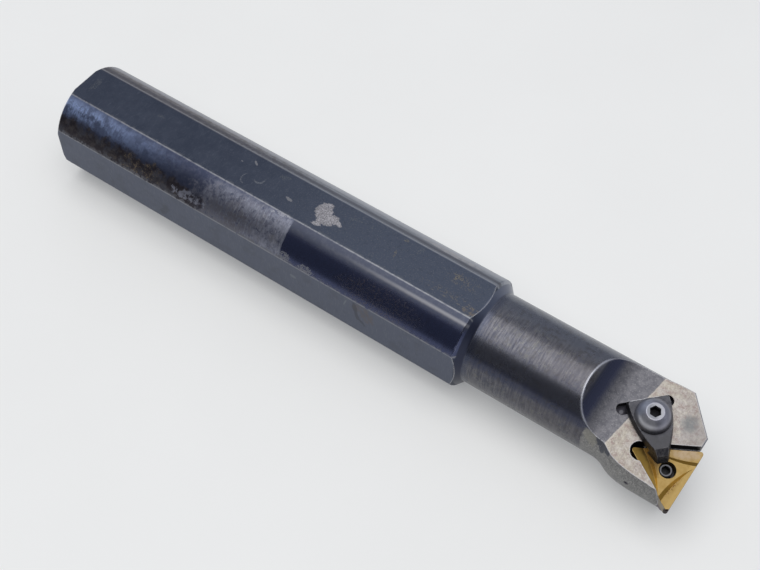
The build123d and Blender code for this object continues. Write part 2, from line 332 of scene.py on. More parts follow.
# %% Where things are on the bar
class BarPlaces:
    """The measures that the bar's zones are laid out by, in mm and degrees."""

    def __init__(self, recipe):
        self.recipe = recipe
        self.place = place_mm(recipe)
        self.face = facing(recipe)
        self.x, self.y, self.z = (axis_of(self.place, n) for n in "XYZ")
        self.forward, self.across, self.above = pocket_places(self.place)
        self.face_up = axis_of(self.face, "Z")
        self.face_near = -axis_of(self.face, "Y")
        self.face_rear = -axis_of(self.face, "X")
        radians = recipe.node("ShaderNodeMath", {"operation": "ARCTAN2"}, {0: self.z, 1: -self.y})
        self.turn = math.degrees(1.0) * radians
        self.blotch = grain(self.place, 5.0, 5.0, 0.62)
        self.mottle = grain(self.place, 1.6, 5.0, 0.65)
        self.fine = grain(self.place, 0.45, 3.0, 0.65)
        self.ragged = (grain(self.place, 1.8, 6.0, 0.68) - 0.5) * 3.0
        self.rings = grain(self.place, 0.4, 5.0, 0.75, (1.0, 14.0, 14.0))
        self.drawn = grain(self.place, 0.3, 3.0, 0.6, (26.0, 1.0, 1.0))
        self.scores = grain(self.place, 0.4, 3.0, 0.65, (1.0, 6.0, 6.0))
        self.smears = grain(self.place, 1.0, 4.0, 0.65, (0.7, 3.0, 3.0))
        self.mill_marks = grain(self.place, 0.45, 4.0, 0.65, (1.0, 12.0, 4.0))
        scratches = largest(self.strokes(31.0), largest(self.strokes(-52.0), self.strokes(8.0)))
        self.scratches = scratches * between(self.blotch, 0.42, 0.60) * between(self.mottle, 0.35, 0.55)
        self.rear_end = between(self.face_rear, 0.85, 0.92) * between(self.x, 5.0, 3.0)
        self.shank = between(self.x, 166.9, 166.5) * (1.0 - self.rear_end)
        self.top_flat = between(self.face_up, 0.975, 0.99) * self.shank
        self.near_flat = between(self.face_near, 0.975, 0.99) * self.shank
        self.far_flat = between(self.face_near, -0.975, -0.99) * self.shank
        strip = between(self.turn, 21.6, 23.6) * between(self.turn, 68.4, 66.4)
        self.near_strip = strip * self.shank * (1.0 - self.top_flat) * (1.0 - self.near_flat)

    def strokes(self, turn):
        """Short thin strokes that run one way across the flats, 1 on a stroke."""
        cosine, sine = math.cos(math.radians(turn)), math.sin(math.radians(turn))
        height = self.y + self.z
        turned = self.recipe.node(
            "ShaderNodeCombineXYZ",
            values={"X": self.x * cosine + height * sine, "Y": height * cosine - self.x * sine, "Z": turn},
        )
        return between(grain(turned, 0.24, 3.0, 0.6, (11.0, 1.0, 1.0)), 0.65, 0.74)


# %% [markdown]
# Black oxide is a thin dark skin on ground steel. It is a matte slate on the flats, a deep glossy navy
# where the round was polished, and it goes brown and bare where hands, holders and damp have been.

# %% Black oxide of the flats
def lay_flats(coat, bar):
    coat.lay(bar.top_flat * between(bar.x, 60.0, 130.0), (0.064, 0.077, 0.110))
    speckle = between(bar.fine, 0.60, 0.70) * between(bar.x, 60.0, 140.0, 0.35, 0.8)
    coat.lay(bar.top_flat * speckle, (0.10, 0.112, 0.145))
    coat.vary(
        bar.top_flat,
        (bar.scores, 0.56, 0.70, 0.45, (0.085, 0.098, 0.13)),
        (bar.mottle, 0.52, 0.66, 0.4, (0.045, 0.055, 0.080)),
    )
    coat.lay(bar.near_flat, (0.102, 0.116, 0.160), 0.50)
    coat.vary(
        bar.near_flat,
        (bar.scores, 0.5, 0.7, 0.6, (0.142, 0.156, 0.195)),
        (bar.blotch, 0.48, 0.66, 0.5, (0.082, 0.092, 0.120)),
        (bar.mottle, 0.6, 0.72, 0.35, (0.11, 0.115, 0.10)),
    )
    coat.lay(bar.top_flat * bar.scratches * between(bar.x, 20.0, 90.0, 0.2, 0.6), (0.16, 0.17, 0.185))
    coat.lay(bar.near_flat * bar.scratches * 0.4, (0.20, 0.21, 0.23))


# %% [markdown]
# Between the flats the bar is still round, and its skin is smooth enough to shine. The near strip is deep
# navy with a painted highlight line along its top. The far one is greyer, and browned and frayed by
# handling, with painted shade and a painted sheen across it.

# %% Black oxide of the round strips
def lay_rounds(coat, bar):
    coat.lay(bar.near_strip, (0.062, 0.074, 0.142), 0.22)
    coat.lay(bar.near_strip * between(bar.smears, 0.48, 0.66) * 0.5, (0.050, 0.055, 0.100))
    upper = bar.near_strip * between(bar.turn + bar.ragged * 0.6, 49.0, 57.5)
    coat.lay(upper, (0.062, 0.070, 0.102), 0.36)
    coat.lay(upper * between(bar.mottle, 0.44, 0.66) * 0.6, (0.088, 0.095, 0.125))
    # A painted highlight line runs along the strip's top, growing brighter towards the head.
    painted_highlight_line = bar.near_strip * line_at(bar.turn, 58.6, 0.3, 2.6)
    coat.lay(painted_highlight_line * between(bar.x + bar.ragged * 3.0, 108.0, 156.0), (0.20, 0.203, 0.225), 0.30)
    far_round = bar.shank * (1.0 - bar.far_flat) * between(bar.turn, 111.8, 113.6)
    far_round = far_round * between(bar.turn, 156.0, 146.0)
    far_tone = blended(bar.recipe, between(bar.x, 40.0, 110.0), (0.16, 0.15, 0.165), (0.24, 0.26, 0.30))
    coat.lay(far_round, far_tone, 0.38)
    coat.lay(far_round * between(bar.drawn, 0.44, 0.60) * 0.5, (0.095, 0.095, 0.115))
    browned = between(bar.x, 120.0, 60.0) * between(bar.mottle, 0.46, 0.58)
    coat.lay(far_round * browned * 0.6, (0.075, 0.067, 0.068))
    frayed = between(bar.mottle, 0.45, 0.37) * between(bar.fine, 0.44, 0.54)
    coat.lay(far_round * frayed * 0.5, (0.31, 0.30, 0.31), 0.42)
    # A dark line next to the top flat is painted shade, and a light band towards the far side is a painted
    # sheen.
    coat.lay(far_round * line_at(bar.turn, 118.6, 1.2, 3.0) * 0.62, (0.050, 0.053, 0.073))
    coat.lay(far_round * between(bar.turn, 125.5, 130.0) * 0.6, (0.34, 0.355, 0.40))
    worn_far = spots(bar.ragged * 1.2, oval(bar.x, bar.turn, (148.0, 125.5), (11.0, 4.0)), soft=0.5)
    coat.lay(far_round * worn_far * between(bar.mottle, 0.35, 0.55) * 0.6, (0.42, 0.40, 0.41), 0.42)


# %% [markdown]
# The rear end was faced on a lathe: its marks are rings round the bar's axis. Noise in one dimension,
# fed with the distance from the axis, draws them.

# %% Faced rear end
def lay_rear_end(coat, bar):
    radius = distance_from((0.0, 0.0), bar.y, bar.z)
    faced = bar.recipe.node(
        "ShaderNodeTexNoise", {"noise_dimensions": "1D"}, {"W": radius, "Scale": 2.2, "Detail": 4.0}, "Fac"
    )
    coat.lay(bar.rear_end * between(faced, 0.35, 0.65), (0.085, 0.092, 0.120), 0.40)
    worn = bar.rear_end * between(radius + bar.ragged * 0.5, 16.4, 17.4) * between(bar.mottle, 0.40, 0.60)
    coat.lay(worn * 0.7, (0.24, 0.24, 0.26), 0.40)
    coat.lay(bar.rear_end * between(bar.blotch, 0.52, 0.66) * 0.5, (0.085, 0.072, 0.068), 0.50)


# %% [markdown]
# The rear half of the round between the two flats has been rubbed: bluish and shiny above, where a bright
# blue painted sheen lies over the rubbed oxide, dark brown with old damp below, and bare grey scuffs up to a
# sharp end, as if a holder had stopped there.

# %% Rubbed rear of the round strip
def lay_rubbed_strip(coat, bar):
    rubbed = bar.near_strip * between(bar.x + (bar.mottle - 0.5) * 1.2, 98.6, 98.0)
    coat.lay(rubbed, (0.050, 0.060, 0.105), 0.38)
    coat.lay(rubbed * between(bar.mottle, 0.42, 0.66) * 0.6, (0.09, 0.10, 0.15))
    # The sheen is partly rubbed bluish oxide and partly a painted sheen, laid where the lamp's reflection
    # falls on the strip.
    sheen = between(bar.turn + bar.ragged * 4.0, 41.0, 52.0)
    sheen = sheen * between(bar.turn + bar.ragged * 2.0, 66.0, 57.0, 0.2, 1.0)
    sheen = rubbed * sheen * between(bar.x + bar.ragged * 10.0, 56.0, 4.0)
    coat.lay(sheen, (0.35, 0.45, 0.72), 0.34)
    coat.vary(
        sheen,
        (bar.mottle, 0.44, 0.62, 0.7, (0.11, 0.14, 0.23)),
        (bar.smears, 0.48, 0.62, 0.6, (0.085, 0.105, 0.18)),
        (bar.blotch, 0.48, 0.62, 0.6, (0.10, 0.12, 0.19)),
    )
    clouds = between(bar.blotch, 0.50, 0.60) * between(bar.turn, 42.0, 50.0)
    coat.lay(rubbed * clouds * 0.4, (0.05, 0.06, 0.105))

    damp_place = bar.turn + bar.ragged * 6.0 + 0.06 * bar.x + (bar.blotch - 0.5) * 30.0
    damp = rubbed * between(damp_place, 49.0, 39.0) * between(bar.x + bar.ragged * 6.0, 76.0, 58.0)
    coat.lay(damp, (0.036, 0.031, 0.038), 0.40)
    coat.vary(
        damp,
        (bar.mottle, 0.44, 0.64, 0.6, (0.095, 0.082, 0.082), 0.5),
        (bar.blotch, 0.48, 0.64, 0.6, (0.085, 0.090, 0.112), 0.45),
    )
    torn_x = bar.x + bar.ragged * 4.0
    rusty = between(bar.fine, 0.50, 0.62) * between(bar.mottle, 0.44, 0.58)
    rusty = rusty * between(torn_x, 24.0, 36.0) * between(torn_x, 50.0, 42.0)
    coat.lay(damp * rusty * 0.8, (0.25, 0.195, 0.125))

    scuffs = rubbed * between(torn_x + (bar.blotch - 0.5) * 30.0, 60.0, 69.0)
    scuffs = scuffs * between(bar.x, 60.0, 94.0, 0.55, 1.0) * between(bar.mottle, 0.22, 0.60)
    scuffs = scuffs * between(bar.turn + bar.ragged * 2.0, 66.0, 57.0, 0.25, 1.0)
    coat.lay(scuffs, (0.29, 0.305, 0.37), 0.42)
    coat.vary(
        scuffs,
        (bar.smears, 0.44, 0.62, 0.7, (0.155, 0.155, 0.20), 0.42),
        (bar.blotch, 0.50, 0.64, 0.5, (0.17, 0.16, 0.165), 0.42),
        (bar.scores, 0.54, 0.66, 0.6, (0.46, 0.47, 0.53), 0.4),
    )
    lower = between(bar.turn + bar.ragged * 5.0, 50.0, 41.0) * between(bar.x + bar.ragged * 6.0, 94.0, 78.0)
    coat.lay(scuffs * lower * between(bar.mottle, 0.36, 0.54) * 0.75, (0.085, 0.080, 0.092), 0.42)
    low = spots(bar.ragged * 2.0, oval(bar.x, bar.turn, (59.0, 33.0), (6.5, 5.0)))
    low = largest(low, spots(bar.ragged * 2.0, oval(bar.x, bar.turn, (66.0, 45.0), (2.0, 8.0))) * 0.4)
    coat.lay(rubbed * low * between(bar.mottle, 0.40, 0.55) * 0.8, (0.27, 0.28, 0.34), 0.42)


# %% [markdown]
# Small flaws break up the whole strip: a grey fringe along its lower edge, two peeled places just past the
# sharp end, light flakes at the upper edge, and a dusty, slightly duller area further forward.

# %% Flaws of the round strip
def lay_strip_flaws(coat, bar):
    fringe = bar.near_strip * between(bar.turn + bar.ragged * 4.0, 28.0, 24.5)
    fringe = fringe * between(bar.mottle, 0.38, 0.54) * between(bar.x, 99.0, 104.0, 0.8, 0.45)
    coat.lay(fringe, (0.17, 0.175, 0.20), 0.45)
    peeled = spots(
        bar.ragged * 1.6,
        oval(bar.x, bar.turn, (109.0, 27.0), (2.8, 4.0)),
        oval(bar.x, bar.turn, (100.3, 27.5), (2.2, 5.5)),
    )
    coat.lay(bar.near_strip * peeled * between(bar.fine, 0.40, 0.52), (0.21, 0.215, 0.245), 0.42)
    flakes = spots(
        bar.ragged * 3.0,
        oval(bar.x, bar.turn, (93.2, 64.6), (1.7, 1.6)),
        oval(bar.x, bar.turn, (96.2, 65.4), (1.0, 0.8)),
        oval(bar.x, bar.turn, (90.0, 63.0), (0.8, 1.0)),
        soft=0.5,
    )
    coat.lay(bar.near_strip * flakes * between(bar.fine, 0.42, 0.56) * 0.8, (0.34, 0.345, 0.38), 0.42)
    dusty = spots(bar.ragged, oval(bar.x, bar.turn, (137.0, 38.0), (15.0, 13.0)), soft=0.6)
    coat.lay(bar.near_strip * dusty * between(bar.fine, 0.50, 0.62) * 0.6, (0.15, 0.13, 0.13), 0.4)


# %% [markdown]
# The flats have their own history: one bare grey patch where the skin came off, a few knocks and curved
# scratches. Each is a joined group of ovals with a ragged outline at a measured place. A curved scratch
# is an oval with another, moved a little, cut out of it.

# %% Marks on the top flat
def lay_top_marks(coat, bar):
    x, y, torn = bar.x, bar.y, bar.ragged * 1.5
    patch = spots(
        torn,
        oval(x, y, (104.3, 0.6), (2.9, 3.3)),
        oval(x, y, (107.2, -0.5), (4.2, 1.9), -10.0),
        oval(x, y, (110.3, -0.9), (2.2, 1.0), -20.0),
        oval(x, y, (105.2, -2.6), (1.3, 2.6)),
        oval(x, y, (104.9, -5.1), (2.0, 0.7)),
        oval(x, y, (107.0, -2.6), (2.5, 1.5)),
    )
    coat.lay(bar.top_flat * patch, (0.365, 0.355, 0.375), 0.46)
    coat.lay(bar.top_flat * patch * between(bar.fine, 0.48, 0.58) * 0.75, (0.155, 0.15, 0.16))
    coat.lay(bar.top_flat * patch * line_at(bar.mottle, 0.5, 0.008, 0.02) * 0.7, (0.13, 0.125, 0.14))

    knocks = spots(
        torn,
        oval(x, y, (92.2, -2.0), (1.6, 0.6), -8.0),
        oval(x, y, (90.9, -1.7), (0.7, 0.5)),
        oval(x, y, (73.2, 4.2), (1.0, 0.35), -35.0),
        oval(x, y, (68.8, 2.3), (0.6, 0.3)),
    )
    coat.lay(bar.top_flat * knocks * 0.8, (0.21, 0.21, 0.225), 0.42)
    faint = spots(
        torn,
        oval(x, y, (33.3, 2.1), (1.2, 0.6)),
        oval(x, y, (4.5, 0.5), (1.2, 3.0)),
        oval(x, y, (85.0, 4.6), (2.2, 0.9), 20.0),
        oval(x, y, (120.8, 4.0), (0.5, 1.0)),
        oval(x, y, (114.5, 3.4), (2.2, 0.5), 12.0),
        oval(x, y, (139.0, 5.0), (0.8, 1.6), -20.0),
    )
    coat.lay(bar.top_flat * faint * between(bar.fine, 0.44, 0.6) * 0.35, (0.14, 0.15, 0.15), 0.46)

    def crescent(whole, cut):
        return spots(0.0, oval(x, y, *whole)) - spots(0.0, oval(x, y, *cut))

    arcs = largest(
        crescent(((78.6, -0.8), (1.9, 1.9)), ((78.2, -0.3), (1.8, 1.8))),
        crescent(((74.6, -3.0), (1.9, 2.3)), ((75.1, -2.7), (2.0, 2.3))),
    )
    arcs = arcs * between(y, 0.8, -0.6) * between(bar.fine, 0.4, 0.55)
    coat.lay(bar.top_flat * arcs * 0.7, (0.17, 0.18, 0.20))


# %% [markdown]
# Tan stains, a rusty corner and fine flecks gather at the front of the top flat, where coolant and chips
# have been. They are weak layers of nearly one colour, each broken up by noise.

# %% Stains on the top flat
def lay_top_stains(coat, bar):
    x, y = bar.x, bar.y
    stains = spots(
        bar.ragged * 0.9,
        oval(x, y, (154.8, 3.2), (2.6, 0.5), -14.0),
        oval(x, y, (154.2, 3.2), (0.6, 1.8), -20.0),
        oval(x, y, (132.8, -0.6), (0.4, 1.5), 15.0),
        oval(x, y, (133.0, 6.0), (0.8, 0.6), 15.0),
        soft=0.5,
    )
    coat.lay(bar.top_flat * stains * between(bar.fine, 0.44, 0.58) * 0.6, (0.19, 0.165, 0.12), 0.5)
    dusting = spots(
        bar.ragged, oval(x, y, (154.0, -3.8), (9.0, 1.3)), oval(x, y, (157.0, 2.6), (5.0, 2.2)), soft=0.8
    )
    dusting = dusting * between(bar.mottle, 0.46, 0.56) * between(bar.fine, 0.48, 0.58)
    coat.lay(bar.top_flat * dusting * 0.5, (0.185, 0.165, 0.13), 0.5)
    corner = spots(bar.ragged * 2.2, oval(x, y, (165.2, -5.8), (3.2, 1.7)))
    coat.lay(bar.top_flat * corner * between(bar.mottle, 0.42, 0.6) * 0.7, (0.19, 0.155, 0.12), 0.5)
    flecks = between(bar.fine, 0.53, 0.66) * between(x, 60.0, 120.0, 0.1, 1.0)
    coat.lay(bar.top_flat * flecks * 0.3, (0.125, 0.130, 0.135))
    score = line_at(y + 0.01 * x, -3.78, 0.05, 0.22) * between(x, 148.0, 151.0) * between(bar.fine, 0.3, 0.5)
    coat.lay(bar.top_flat * score * between(bar.mottle, 0.48, 0.56) * 0.6, (0.17, 0.16, 0.15), 0.5)
    near_edge = between(y + bar.ragged * 0.25, -6.5, -7.2) * between(bar.mottle, 0.45, 0.6)
    coat.lay(bar.top_flat * near_edge * 0.45, (0.14, 0.148, 0.165))


# %% [markdown]
# The near flat is paler, and it has one tan spot with a dark hooked line beside it, a faint smear and two
# light scrapes. They are laid out by the place along the bar and the height.

# %% Marks on the near flat
def lay_near_marks(coat, bar):
    x, z = bar.x, bar.z
    tan = spots(bar.ragged * 2.2, oval(x, z, (131.5, 5.0), (3.2, 2.4)), oval(x, z, (134.0, 3.0), (2.6, 3.0)))
    dark = spots(
        bar.ragged * 1.2,
        oval(x, z, (128.9, 4.2), (0.9, 2.6), 8.0),
        oval(x, z, (129.6, 0.6), (0.8, 2.6), 20.0),
        oval(x, z, (131.6, -1.7), (1.8, 0.7), -40.0),
    )
    coat.lay(bar.near_flat * tan * between(bar.mottle, 0.35, 0.6) * 0.6, (0.125, 0.105, 0.10), 0.5)
    coat.lay(bar.near_flat * dark * 0.6, (0.052, 0.054, 0.068), 0.5)
    smear = spots(bar.ragged * 2.0, oval(x, z, (48.0, -3.0), (1.4, 3.6), -30.0))
    coat.lay(bar.near_flat * smear * 0.35, (0.06, 0.065, 0.075), 0.5)
    scrapes = oval(x, z, (104.0, 1.8), (1.1, 0.7)), oval(x, z, (125.3, 4.8), (0.25, 2.0), -20.0)
    light = spots(bar.ragged * 1.5, *scrapes)
    coat.lay(bar.near_flat * light * 0.6, (0.19, 0.21, 0.235))


# %% [markdown]
# The neck was turned on a lathe, and fine rings run round it. Its dark skin is thin and uneven, so the rings
# show as a brushed grey. The shoulder cone before it is smoother and darker, with its upper side painted
# lighter as painted light. Bands of tone that run along the neck follow the turn round its axis: they are
# painted highlights and painted shade, with the upper side lighter and the lower side darker.

# %% Turned neck and shoulder
def lay_neck(coat, bar):
    cone = between(bar.x, 165.7, 166.3) * between(bar.x, 169.2, 168.4) * (1.0 - bar.shank)
    # The cone's upper side is painted lighter: painted light.
    cone_light = between(bar.turn, 60.0, 85.0) * between(bar.turn, 178.0, 150.0)
    coat.lay(cone, blended(bar.recipe, cone_light, (0.030, 0.035, 0.062), (0.10, 0.115, 0.165)), 0.3)

    neck = between(bar.x, 168.4, 169.0)
    ringed = between(bar.rings, 0.36, 0.64)
    coat.lay(neck, blended(bar.recipe, ringed, (0.052, 0.055, 0.078), (0.146, 0.145, 0.160)), 0.27)
    coat.lay(neck * between(bar.x, 178.0, 200.0) * 0.45, (0.092, 0.086, 0.094))
    tinted = between(bar.mottle, 0.53, 0.62) * between(bar.blotch, 0.42, 0.56)
    coat.lay(neck * tinted * 0.5, (0.155, 0.152, 0.135))
    coat.vary(
        neck,
        (bar.smears, 0.54, 0.66, 0.5, (0.066, 0.066, 0.076)),
        (bar.blotch, 0.52, 0.66, 0.4, (0.065, 0.073, 0.105), 0.32),
    )
    # Painted light and shade: the neck's upper and far side is painted lighter, its lower side darker navy,
    # and the bands below are painted highlights and painted shade lines.
    upper = between(bar.turn, 92.0, 108.0) * between(bar.turn, 178.0, 145.0)
    coat.lay(neck * upper * 0.65, (0.118, 0.133, 0.172))
    lower = between(bar.turn, 64.0, 50.0) * between(bar.turn, 14.0, 26.0)
    coat.lay(neck * lower * 0.35, (0.046, 0.055, 0.110))
    for turn, half_width, soft, strength, colour in (
        (28.0, 3.0, 9.0, 0.45, (0.028, 0.035, 0.066)),
        (45.0, 7.0, 7.0, 0.5, (0.130, 0.134, 0.152)),
        (81.0, 3.0, 7.0, 0.3, (0.060, 0.057, 0.060)),
        (104.0, 7.0, 8.0, 0.35, (0.165, 0.170, 0.192)),
    ):
        coat.lay(neck * line_at(bar.turn, turn, half_width, soft) * strength, colour)
    coat.lay(neck * between(bar.mottle, 0.48, 0.38) * 0.4, (0.066, 0.062, 0.060))
    collar = neck * between(bar.x + bar.ragged, 171.5, 169.5)
    coat.lay(collar * 0.5, (0.055, 0.065, 0.105))


# %% [markdown]
# The head was milled after the neck was turned. Its near flank is bare brushed steel, with a dark patch
# and a tan one where the skin ends, and a line of rust below the insert.

# %% Milled flank of the head
def lay_flank(coat, bar):
    start = bar.x + bar.ragged * 0.5
    flank = between(start, 211.2, 211.8) * between(bar.turn, 26.0, 22.0)
    flank = flank * between(bar.turn + bar.ragged * 8.0, -150.0, -115.0)
    brushed = blended(bar.recipe, between(bar.mottle, 0.35, 0.65), (0.17, 0.17, 0.17), (0.235, 0.23, 0.225))
    coat.lay(flank, brushed, 0.42)
    coat.lay(flank * between(bar.rings, 0.45, 0.7) * 0.5, (0.15, 0.15, 0.155))
    smeared = between(bar.x, 227.0, 231.0) * between(bar.smears, 0.46, 0.58)
    coat.lay(flank * smeared * 0.55, (0.105, 0.107, 0.105))
    coat.vary(
        flank,
        (bar.fine, 0.52, 0.62, 0.6, (0.37, 0.365, 0.35)),
        (bar.fine, 0.45, 0.36, 0.5, (0.095, 0.095, 0.10)),
        (bar.blotch, 0.52, 0.64, 0.4, (0.16, 0.16, 0.175)),
    )
    dark = spots(
        bar.ragged * 0.9,
        oval(bar.x, bar.z, (217.6, 6.5), (1.9, 3.2), -8.0),
        oval(bar.x, bar.z, (219.9, 5.2), (1.8, 2.4), 20.0),
        oval(bar.x, bar.z, (218.6, 3.0), (1.0, 1.9)),
    )
    coat.lay(flank * dark * 0.88, (0.050, 0.055, 0.072), 0.35)
    tan = spots(bar.ragged * 1.6, oval(bar.x, bar.z, (213.9, 5.5), (2.1, 3.8), 15.0))
    coat.lay(flank * tan * 0.55, (0.27, 0.26, 0.225), 0.45)
    rusty = flank * between(bar.x + bar.ragged * 0.25, 239.3, 239.9) * between(bar.mottle, 0.3, 0.45)
    coat.lay(rusty * 0.7, (0.055, 0.028, 0.026), 0.5)
    far_side = between(bar.x, 216.0, 226.0) * between(bar.turn, 100.0, 125.0)
    far_side = far_side * between(bar.turn + bar.ragged * 8.0, 168.0, 135.0)
    coat.lay(far_side * 0.6, (0.15, 0.15, 0.16), 0.42)


# %% [markdown]
# The chip face is grey next to the curved run-out, which the side of the cutter left smooth, and the back of
# the run-out is painted dark navy as painted shade. Past a straight border it is rubbed to bright tan steel,
# where chips have run over it. That tan is many weak layers, light and dark, each from another noise,
# because one mix of two colours looks like paint.

# %% Chip face and run-out
def lay_chip_face(coat, bar):
    head = between(bar.x, 200.0, 204.0)
    curve = between(bar.above, 1.62, 1.68) * between(along(bar.face, pocket_forward), 0.0, 0.03) * head
    curve = curve * between(bar.forward, -26.0, -27.0) * between(along(bar.face, pocket_up), 0.70, 0.74)
    milled = between(along(bar.face, pocket_up), 0.98, 0.992) * between(bar.x, 208.0, 210.0)
    grey = blended(bar.recipe, between(bar.mottle, 0.35, 0.65), (0.080, 0.080, 0.092), (0.120, 0.118, 0.130))
    both = largest(curve, milled)
    coat.lay(both, grey, 0.38)
    coat.lay(both * between(bar.fine, 0.54, 0.65) * 0.55, (0.19, 0.185, 0.19))
    # Painted shade: the back of the run-out is laid dark navy.
    shade = curve * between(bar.forward + bar.ragged * 0.4, -32.2, -35.0)
    coat.lay(shade, (0.040, 0.045, 0.078), 0.27)
    coat.lay(curve * between(bar.forward + bar.ragged * 0.2, -36.6, -38.6), (0.048, 0.047, 0.054), 0.33)

    border = bar.forward - 0.164 * bar.across + bar.ragged * 0.22
    bare = milled * between(border, -27.0, -26.6)
    tan = blended(bar.recipe, between(bar.mottle, 0.3, 0.7), (0.27, 0.240, 0.195), (0.345, 0.318, 0.285))
    coat.lay(bare, tan, 0.46)
    coat.vary(
        bare,
        (bar.forward + bar.ragged * 3.0, -18.0, -8.0, 0.7, (0.30, 0.28, 0.272)),
        (bar.mill_marks, 0.49, 0.60, 0.45, (0.21, 0.172, 0.155)),
        (bar.blotch, 0.50, 0.60, 0.45, (0.36, 0.335, 0.33)),
        (bar.blotch, 0.46, 0.36, 0.45, (0.235, 0.20, 0.165)),
        (bar.smears, 0.54, 0.64, 0.45, (0.215, 0.19, 0.19)),
        (bar.mottle, 0.51, 0.62, 0.75, (0.215, 0.160, 0.145)),
        (bar.mottle, 0.48, 0.38, 0.6, (0.42, 0.395, 0.345)),
        (bar.fine, 0.52, 0.64, 0.45, (0.42, 0.40, 0.375)),
        (bar.fine, 0.46, 0.36, 0.4, (0.20, 0.185, 0.175)),
        (bar.forward + bar.ragged * 2.0, -11.0, -4.0, 0.5, (0.190, 0.175, 0.168)),
    )
    smudge = spots(bar.ragged * 1.0, oval(bar.forward, bar.across, (-8.0, 26.2), (2.1, 2.6)), soft=1.2)
    coat.lay(bare * smudge * between(bar.fine, 0.3, 0.55, 0.45, 0.85), (0.13, 0.138, 0.142))
    coat.lay(bare * between(border, -26.2, -26.6) * 0.4, (0.40, 0.38, 0.35))


# %% [markdown]
# What lies below the chip face is laid nearly black: the insert's pocket with its reliefs, and the slot for
# the clamp's heel. They are all nearer to the axis of the head's round than its surface is, and that axis is
# a little off the bar's. A small painted highlight lightens the floor of the slot.

# %% Dark pocket and slot
def lay_pocket(coat, bar):
    head_axis = (-1.35, -0.7)
    radius = distance_from(head_axis, bar.y, bar.z)
    sunk = between(bar.above, 1.45, 1.2) * between(radius, 17.62, 17.45) * between(bar.x, 212.0, 214.0)
    sunk = sunk * between(bar.forward, -1.6, -1.9) * between(bar.z, -15.6, -15.0)
    sunk = sunk * between(bar.across + 0.577 * bar.forward, -2.2, -1.9) * between(bar.across, 31.9, 31.6)
    sunk = sunk * between(bar.above, -9.6, -9.2)
    coat.lay(sunk, (0.022, 0.021, 0.028), 0.38)
    coat.lay(sunk * between(bar.mottle, 0.56, 0.66) * 0.4, (0.10, 0.095, 0.10), 0.4)
    # A small painted highlight on the floor of the slot.
    slot_painted_highlight = spots(0.0, oval(bar.forward, bar.across, (-26.9, 19.0), (0.6, 0.7)), soft=0.5)
    coat.lay(sunk * slot_painted_highlight * 0.5, (0.13, 0.13, 0.145), 0.4)


# %% [markdown]
# Last come the edges. The long edges of the flats are shallow, so they are drawn where they lie, broken up
# by noise. The sharper edges of the head and the shoulder come from the rounded direction, apart from those
# of the clamp's slot, which no hand reaches; the bright line along the run-out's edge is partly a rubbed
# edge and partly a painted highlight. The small dent on the flank is dark, so it comes after.

# %% Worn edges of the bar
def lay_edges(coat, bar):
    half_flat = 7.616
    top_edges = line_at(bar.y, half_flat, 0.0, 0.5) + line_at(bar.y, -half_flat, 0.0, 0.5)
    top_edges = between(top_edges, 0.25, 0.75)
    near_edges = between(line_at(bar.z, half_flat, 0.0, 0.5), 0.25, 0.75)
    lines = largest(top_edges * between(bar.z, 10.0, 14.0), near_edges * between(bar.y, -10.0, -14.0))
    lines = lines * bar.shank * between(bar.mottle, 0.26, 0.52) * between(bar.blotch, 0.25, 0.5, 0.4, 1.0)
    coat.lay(lines * 0.75, (0.27, 0.275, 0.295), 0.4)
    rubbed = edge_of(bar.recipe, 0.5, 0.994, 0.955) * between(bar.mottle, 0.30, 0.48)
    rubbed = rubbed * between(bar.x, 165.0, 165.6, 0.25, 1.0)
    slot_ends = (-26.9, 19.4), (-17.0, 30.0)
    slot = spots(0.0, *(oval(bar.forward, bar.across, end, (3.2, 3.2)) for end in slot_ends))
    coat.lay(rubbed * (1.0 - slot) * 0.8, (0.42, 0.425, 0.45), 0.33)
    # The bright line along the run-out's edge is partly a rubbed edge and partly a painted highlight.
    run_out_edge_wear_and_highlight = edge_of(bar.recipe, 1.0, 0.998, 0.984, 10)
    run_out_edge_wear_and_highlight = run_out_edge_wear_and_highlight * between(bar.x, 203.0, 205.0) * between(bar.x, 219.0, 214.0)
    run_out_edge_wear_and_highlight = run_out_edge_wear_and_highlight * between(bar.turn, 25.0, 35.0) * between(bar.turn, 118.0, 104.0) * (1.0 - slot)
    coat.lay(run_out_edge_wear_and_highlight * 0.7, (0.54, 0.55, 0.61), 0.38)
    dent = spots(0.0, oval(bar.x, bar.z, (229.25, -2.35), (0.8, 0.8)), soft=0.4)
    coat.lay(dent * between(bar.y, -17.0, -18.0) * 0.9, (0.035, 0.030, 0.045), 0.5)


# %% [markdown]
# The bar's whole finish is a slate ground with the layers over it, in the order in which they came about.
# Its relief is shallow, a few hundredths of a millimetre, and the neck adds its turned rings.

# %% The bar's whole finish
def blackened_steel():
    recipe = new_finish("blackened_steel")
    bar = BarPlaces(recipe)
    slate = blended(recipe, between(bar.blotch, 0.3, 0.75), (0.036, 0.045, 0.070), (0.050, 0.060, 0.088))
    coat = Coat(recipe, slate, 0.46 + 0.1 * bar.mottle)
    shank_layers = lay_flats, lay_rounds, lay_rear_end, lay_rubbed_strip, lay_strip_flaws
    mark_layers = lay_top_marks, lay_top_stains, lay_near_marks
    head_layers = lay_neck, lay_flank, lay_chip_face, lay_pocket, lay_edges
    for lay_zone in shank_layers + mark_layers + head_layers:
        lay_zone(coat, bar)
    neck = between(bar.x, 166.8, 168.6)
    height = bar.fine * 0.5 + bar.rings * neck * 0.8 + bar.mottle * 0.6
    normal = relief(recipe, height, 0.012, rounded(recipe, 0.2))
    return recipe.finish(Base_Color=coat.colour, Metallic=0.8, Roughness=coat.roughness, Normal=normal)
